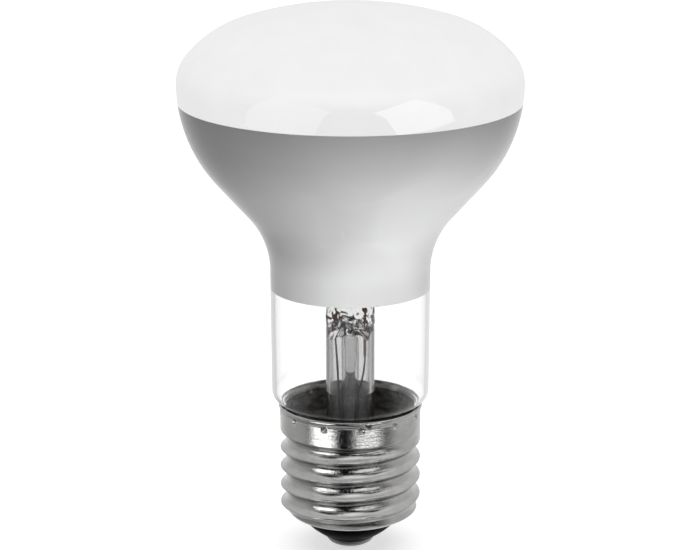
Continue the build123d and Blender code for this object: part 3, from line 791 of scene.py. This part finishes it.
# Room. An even light from all round, and a backdrop that is white to the camera and through the thin
# glass of the neck. Metal and glass mirror a pale room that is white behind the lamp, darker in front
# and dark straight below. Each step of its tone is where it starts, where it ends and its height.
AMBIENT = 1.15
BEHIND_STEP = (-0.75, 0.0, 0.88)
FAR_STEP = (0.5, 0.95, 0.17)
UPWARD_LIFT = 2.5
SMALLEST_LEVEL = 0.05
CEILING_STEP = (0.15, 0.6, 0.8)
ABOVE_CEILING_STEP = (0.7, 0.95, 0.8)
LEFT_STEP = (0.3, 0.95, 0.15)
LOW_STEP = (-0.65, -0.3, 1)
LOW_LEFT_STEP = (0.1, -0.5, 0.5)
BELOW_STEP = (-0.995, -0.955, 0.85)
BELOW_LEVEL = 0.15
NECK_CROSSINGS = 4.5
WHITE_BACKDROP = 1.35


def step_up(tree, source, start, end, height):
    """Smooth step of a height between two values of a source."""
    rise = tree.nodes.new("ShaderNodeMapRange")
    rise.interpolation_type = "SMOOTHSTEP"
    rise.inputs["From Min"].default_value = start
    rise.inputs["From Max"].default_value = end
    rise.inputs["To Max"].default_value = height
    tree.links.new(source, rise.inputs["Value"])
    return rise.outputs["Result"]


world = bpy.data.worlds.new("studio")
bpy.context.scene.world = world
world.use_nodes = True
tree = world.node_tree
tree.nodes.clear()
where = tree.nodes.new("ShaderNodeTexCoord")
split = tree.nodes.new("ShaderNodeSeparateXYZ")
tree.links.new(where.outputs["Generated"], split.inputs[0])
right, back, up = split.outputs
level = calc(tree, "SQRT", calc(tree, "MULTIPLY_ADD", right, right, calc(tree, "MULTIPLY", back, back)))
behind = calc(tree, "DIVIDE", back, calc(tree, "MAXIMUM", level, SMALLEST_LEVEL))
forward = calc(tree, "MAXIMUM", calc(tree, "MULTIPLY", behind, -1), 0)
behind = calc(tree, "MULTIPLY_ADD", calc(tree, "MAXIMUM", up, 0), UPWARD_LIFT, behind)
room = calc(tree, "ADD", step_up(tree, behind, *BEHIND_STEP), step_up(tree, behind, *FAR_STEP))
ceiling = calc(tree, "SUBTRACT", step_up(tree, up, *CEILING_STEP), step_up(tree, up, *ABOVE_CEILING_STEP))
room = calc(tree, "MULTIPLY_ADD", forward, ceiling, room)
leftward = step_up(tree, calc(tree, "MULTIPLY", right, -1), *LEFT_STEP)
room = calc(tree, "MULTIPLY", room, calc(tree, "SUBTRACT", 1, leftward))
low = calc(tree, "SUBTRACT", 1, step_up(tree, up, *LOW_STEP))
low_left = calc(tree, "MULTIPLY", low, step_up(tree, right, *LOW_LEFT_STEP))
room = calc(tree, "MULTIPLY", room, calc(tree, "SUBTRACT", 1, low_left))
below = calc(tree, "ADD", step_up(tree, up, *BELOW_STEP), BELOW_LEVEL)
room = calc(tree, "MULTIPLY", room, below)
path = tree.nodes.new("ShaderNodeLightPath")
straight = calc(tree, "MAXIMUM", path.outputs["Is Camera Ray"], path.outputs["Is Transmission Ray"])
thin = calc(tree, "LESS_THAN", path.outputs["Transmission Depth"], NECK_CROSSINGS)
backdrop = calc(tree, "MULTIPLY", calc(tree, "MULTIPLY", straight, thin), WHITE_BACKDROP)
seen = tree.nodes.new("ShaderNodeBackground")
tree.links.new(calc(tree, "MAXIMUM", room, backdrop), seen.inputs["Strength"])
ambient = tree.nodes.new("ShaderNodeBackground")
ambient.inputs["Strength"].default_value = AMBIENT
either = tree.nodes.new("ShaderNodeMixShader")
tree.links.new(seen_directly(tree), either.inputs["Fac"])
tree.links.new(ambient.outputs[0], either.inputs[1])
tree.links.new(seen.outputs[0], either.inputs[2])
output = tree.nodes.new("ShaderNodeOutputWorld")
tree.links.new(either.outputs[0], output.inputs["Surface"])

# Softboxes. Two curved boxes in front of the lamp, the right one brighter, which light nothing and show
# only as reflections on the near side of the dome: past their reach they are black.
SOFTBOX_DISTANCE = 130
SOFTBOX_REACH = 146
SOFTBOX_CUTS = 7
RIGHT_CORNERS = ((39, -177, 91), (79, -146, 21), (155, -68, 41), (104, -119, 166))
RIGHT_SPOT = (15, -28, 83)
LEFT_CORNERS = ((-31, -178, 99), (-104, -105, 181), (-153, -63, 33), (-61, -155, 21))
LEFT_SPOT = (-15, -28, 83)


def softbox(name, corners, spot, glow):
    """Softbox inside four corners, curved round the spot of the dome that it faces."""
    bpy.ops.object.select_all(action="DESELECT")
    bpy.ops.mesh.primitive_plane_add(size=1)
    box = bpy.context.object
    box.name = name
    for number, corner in zip((0, 1, 3, 2), corners):
        box.data.vertices[number].co = corner
    bpy.ops.object.mode_set(mode="EDIT")
    bpy.ops.mesh.select_all(action="SELECT")
    bpy.ops.mesh.subdivide(number_cuts=SOFTBOX_CUTS)
    bpy.ops.object.mode_set(mode="OBJECT")
    for vertex in box.data.vertices:
        vertex.co = (Vector(spot) + (vertex.co - Vector(spot)).normalized() * SOFTBOX_DISTANCE) / 1000
    material, tree, shader = new_finish(name)
    shader.inputs["Base Color"].default_value = (0, 0, 0, 1)
    shader.inputs["Specular IOR Level"].default_value = 0
    shader.inputs["Emission Color"].default_value = (1, 1, 1, 1)
    path = tree.nodes.new("ShaderNodeLightPath")
    near = calc(tree, "LESS_THAN", path.outputs["Ray Length"], SOFTBOX_REACH / 1000)
    tree.links.new(calc(tree, "MULTIPLY", near, glow), shader.inputs["Emission Strength"])
    box.data.materials.append(material)
    box.visible_camera = False
    box.visible_diffuse = False
    box.visible_shadow = False
    box.visible_transmission = False


softbox("right_softbox", RIGHT_CORNERS, RIGHT_SPOT, glow=2.6)
softbox("left_softbox", LEFT_CORNERS, LEFT_SPOT, glow=1.2)

# Lights. Soft oblong lights, each flagged to fall on one piece: three cards that draw the bright bands
# of the screw shell, a low light and a fill for the reflector film, and a weak fill for the white dome.


def flagged_light(name, piece, glow, size, angle, distance, height, tilt=0):
    """Area light at an angle right of the camera, turned to the lamp and flagged to fall on one piece."""
    width, tall = (length / 1000 for length in size)
    data = bpy.data.lights.new(name, "AREA")
    data.shape = "RECTANGLE"
    data.size = width
    data.size_y = tall
    data.energy = glow * pi * width * tall
    lamp = bpy.data.objects.new(name, data)
    bpy.context.collection.objects.link(lamp)
    place_right = distance * sin(radians(angle))
    place_front = -distance * cos(radians(angle))
    lamp.location = (place_right / 1000, place_front / 1000, height / 1000)
    lamp.rotation_euler = (radians(90 - tilt), 0, radians(angle))
    flag = bpy.data.collections.new(name)
    flag.objects.link(piece)
    lamp.light_linking.receiver_collection = flag
    return lamp


flagged_light("right_card", cap_shell, glow=2.6, size=(112, 31), angle=28, distance=150, height=-30)
flagged_light("left_card", cap_shell, glow=5.0, size=(93, 31), angle=-44, distance=150, height=-30)
flagged_light("bowl_card", cap_shell, glow=0.45, size=(90, 45), angle=0, distance=30, height=-55, tilt=-75)
flagged_light(
    "flank_light", mirror_film, glow=4.5, size=(1100, 500), angle=42, distance=384, height=-390, tilt=-50)
flagged_light(
    "neck_fill", mirror_film, glow=10, size=(250, 250), angle=-18, distance=500, height=100, tilt=8)
front_fill = flagged_light(
    "front_fill", frost_coat, glow=0.22, size=(800, 800), angle=0, distance=800, height=100)
front_fill.visible_glossy = False

# Camera. It stands where the photograph was taken from, about 0.46 m in front of the lamp, and looks
# some 15 degrees down on it through a long lens. The light may cross many layers of glass.
CAMERA_PLACE = (-0.055, -456.6, 177.9)
CAMERA_TILT = 74.642
CAMERA_LENS = 132.2
CAMERA_SENSOR = 36
GLASS_BOUNCES = 24
camera_data = bpy.data.cameras.new("camera")
camera_data.lens = CAMERA_LENS
camera_data.sensor_width = CAMERA_SENSOR
camera = bpy.data.objects.new("camera", camera_data)
bpy.context.collection.objects.link(camera)
camera.location = [length / 1000 for length in CAMERA_PLACE]
camera.rotation_euler = (radians(CAMERA_TILT), 0, 0)
scene = bpy.context.scene
scene.camera = camera
scene.view_settings.view_transform = "Standard"
scene.cycles.max_bounces = GLASS_BOUNCES
scene.cycles.transmission_bounces = GLASS_BOUNCES
